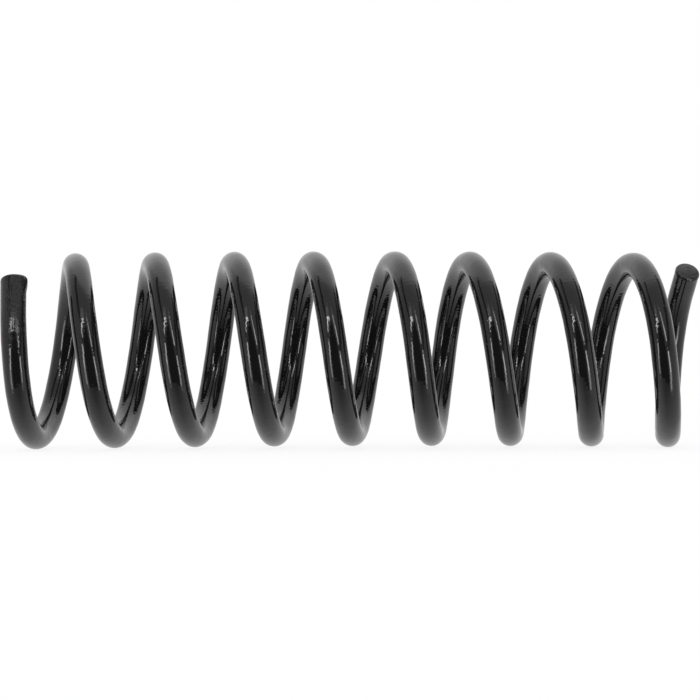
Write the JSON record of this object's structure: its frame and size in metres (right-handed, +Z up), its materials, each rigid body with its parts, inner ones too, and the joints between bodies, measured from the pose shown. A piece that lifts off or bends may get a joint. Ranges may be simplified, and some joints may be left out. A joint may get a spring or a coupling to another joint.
{
  "type": "suspension coil spring",
  "caption": "Open-ended right-hand compression coil spring of round wire with a glossy black coating, wound to an even diameter, with short straight tails at both cut ends.",
  "frame": {"origin": "on the surface that the spring lies on, under the middle of its length", "axes": "+X along the coil's axis, the way a right-hand screw travels from the left end; +Z up, with both cut ends near the top; -Y to the front, where the left end is"},
  "size_m": [0.3372, 0.094, 0.0945],
  "materials": {
    "black_coating": "gloss black powder coat over spring steel"
  },
  "bodies": {
    "root": {"coil_spring": "black_coating"}
  },
  "joints": []
}
